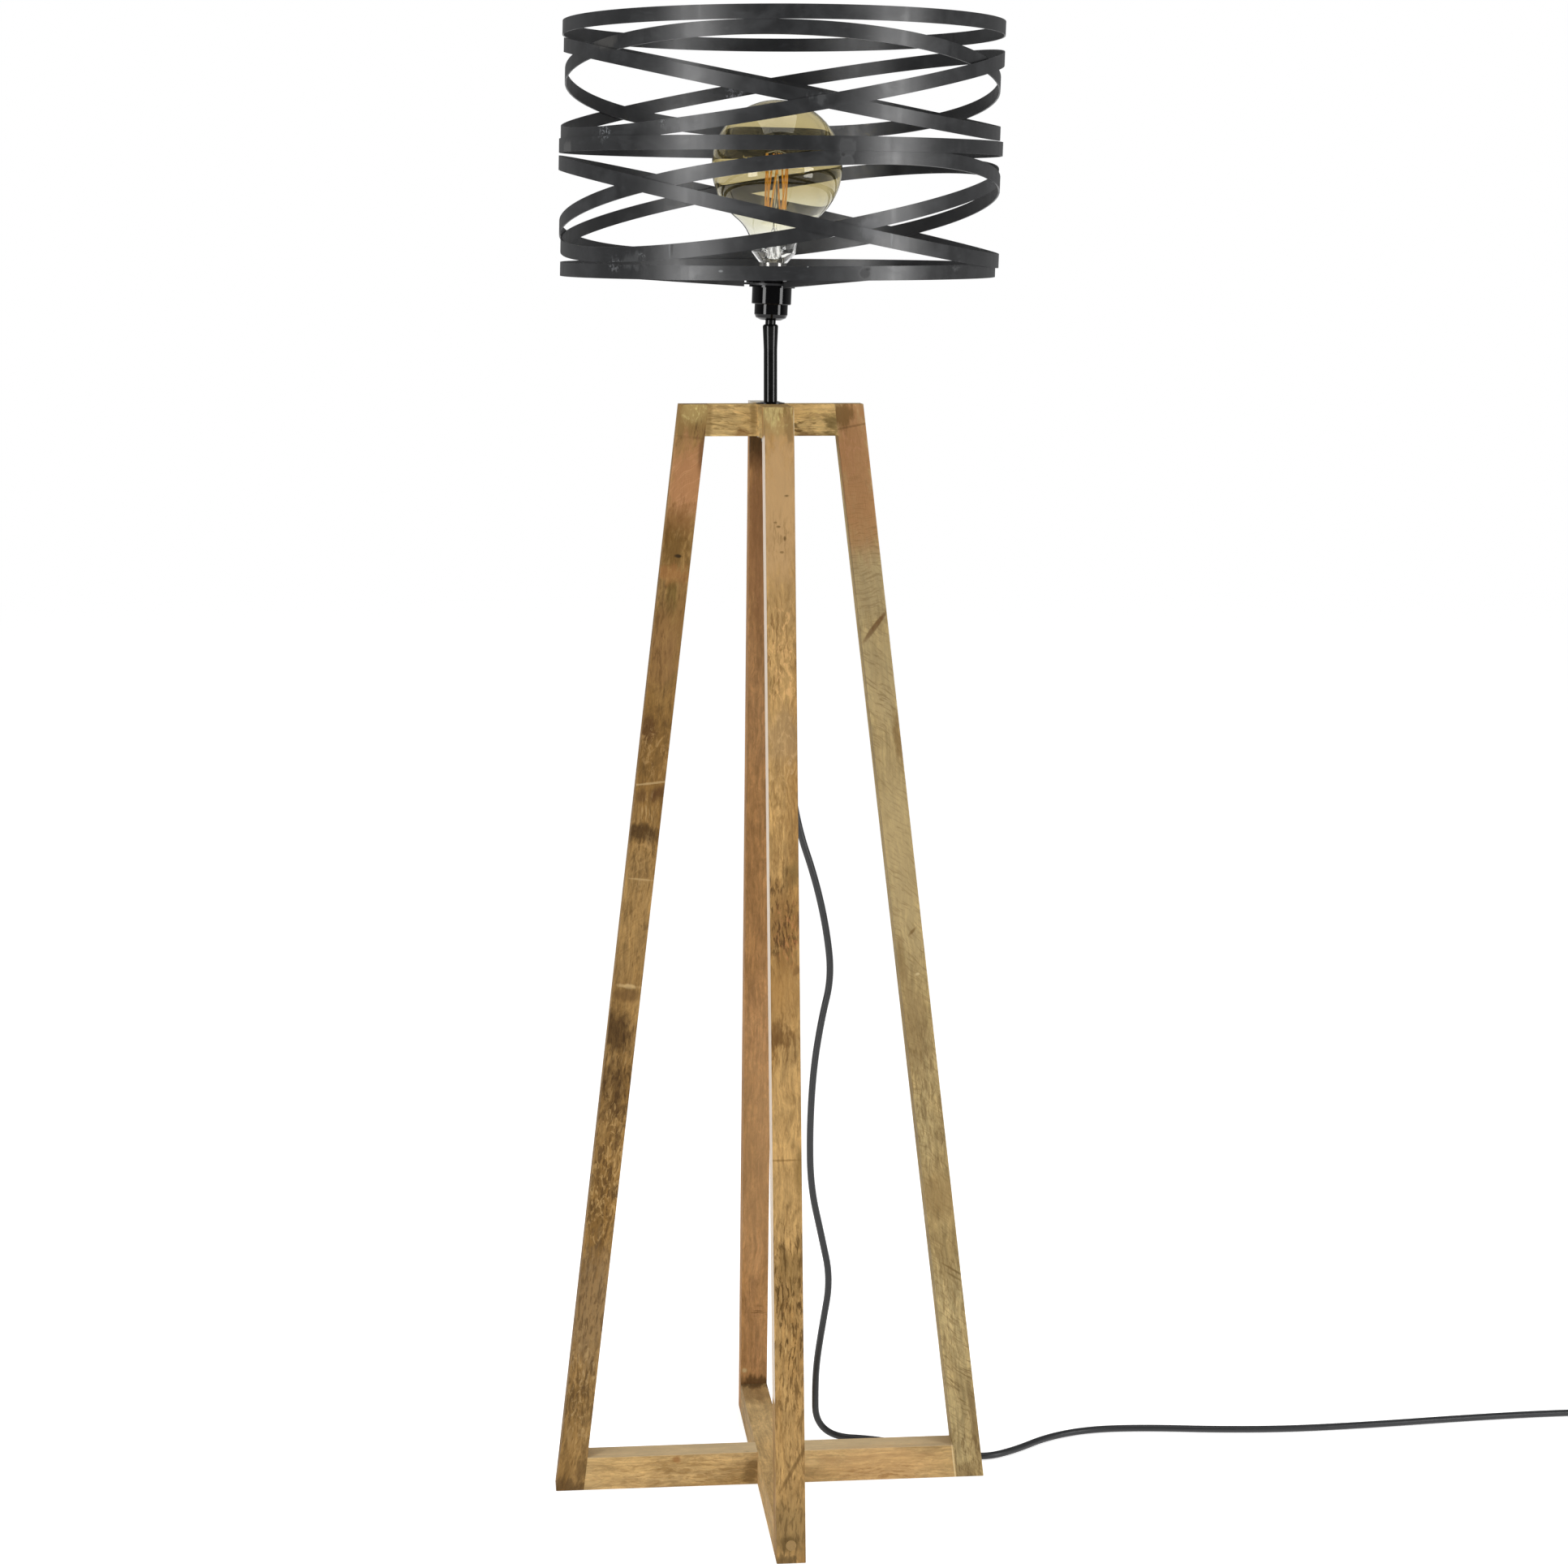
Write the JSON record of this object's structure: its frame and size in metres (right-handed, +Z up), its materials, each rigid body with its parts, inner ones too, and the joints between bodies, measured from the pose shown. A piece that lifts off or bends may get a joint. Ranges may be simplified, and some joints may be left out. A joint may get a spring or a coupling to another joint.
{
  "type": "floor_lamp",
  "caption": "Floor lamp: four tapering wooden legs on cross rails, short black stem, globe bulb inside a drum of slanting flat steel hoops",
  "frame": {"origin": "on the floor at the centre of the base, where the two bottom rails cross", "axes": "+Z up; +X towards the right-hand leg, -Y towards the front leg, as seen from the front"},
  "size_m": [1.3778, 0.437, 1.4513],
  "materials": {
    "wood": "matt oiled mango wood, brown with pale and dark streaks",
    "wood_plug": "matt oiled, end grain",
    "zinc": "zinc plated, dull",
    "black_steel": "thin satin black over rolled steel strip, worn at the welds",
    "holder_black": "black, semi-gloss",
    "ceramic": "unglazed off-white",
    "brass": "bright, light tarnish",
    "brass_cap": "rolled thread, bright",
    "bulb_black": "black vitrite",
    "solder": "solder, dull",
    "amber_glass": "clear, amber tinted",
    "clear_glass": "clear",
    "filament": "yellow phosphor coating, matt",
    "cord": "black, satin",
    "black_plastic": "black, fine grained",
    "nickel": "nickel plated"
  },
  "bodies": {
    "lamp": {"leg_front": "wood", "leg_back": "wood", "leg_left": "wood", "leg_right": "wood", "foot_rail_across": "wood", "foot_rail_deep": "wood", "head_rail_across": "wood", "head_rail_deep": "wood", "foot_plugs": "wood_plug", "head_dowels": "wood_plug", "foot_screws": "zinc", "threaded_nipple": "zinc", "stem_flange": "black_steel", "stem_tube": "black_steel", "stem_bush": "black_steel", "clamp_washer": "zinc", "lock_nut": "zinc", "cord_gland": "black_plastic", "holder_neck": "black_steel", "holder_cap": "holder_black", "holder_shell": "holder_black", "holder_insert": "ceramic", "thread_shell": "brass", "terminal_screws": "brass", "contact_tongue": "brass", "hub_plate": "black_steel", "spoke_left": "black_steel", "spoke_front": "black_steel", "spoke_back": "black_steel", "mains_cord": "cord", "cord_coil": "cord", "cord_end": "cord", "plug_boot": "black_plastic", "plug_body": "black_plastic", "plug_pins": "nickel", "hoop_top": "black_steel", "hoop_upper_front": "black_steel", "hoop_upper_left": "black_steel", "hoop_upper_right": "black_steel", "hoop_middle": "black_steel", "hoop_lower_front": "black_steel", "hoop_lower_left": "black_steel", "hoop_lower_right": "black_steel", "hoop_foot": "black_steel"},
    "bulb": {"bulb_glass": "amber_glass", "bulb_cap": "brass_cap", "bulb_base": "bulb_black", "bulb_tip": "solder", "bulb_mount": "clear_glass", "bulb_filaments": "filament", "filament_wires": "zinc"},
    "ring": {"shade_ring": "holder_black"}
  },
  "joints": [
    {"name": "bulb_turn", "type": "hinge", "parent": "lamp", "child": "bulb", "pos_m": [0.00167, -0.00016, 1.20697], "axis": [0.0417, -0.0039, 0.9991], "continuous": true},
    {"name": "ring_turn", "type": "hinge", "parent": "lamp", "child": "ring", "pos_m": [0.00179, -0.00017, 1.20996], "axis": [0.0417, -0.0039, 0.9991], "continuous": true}
  ]
}
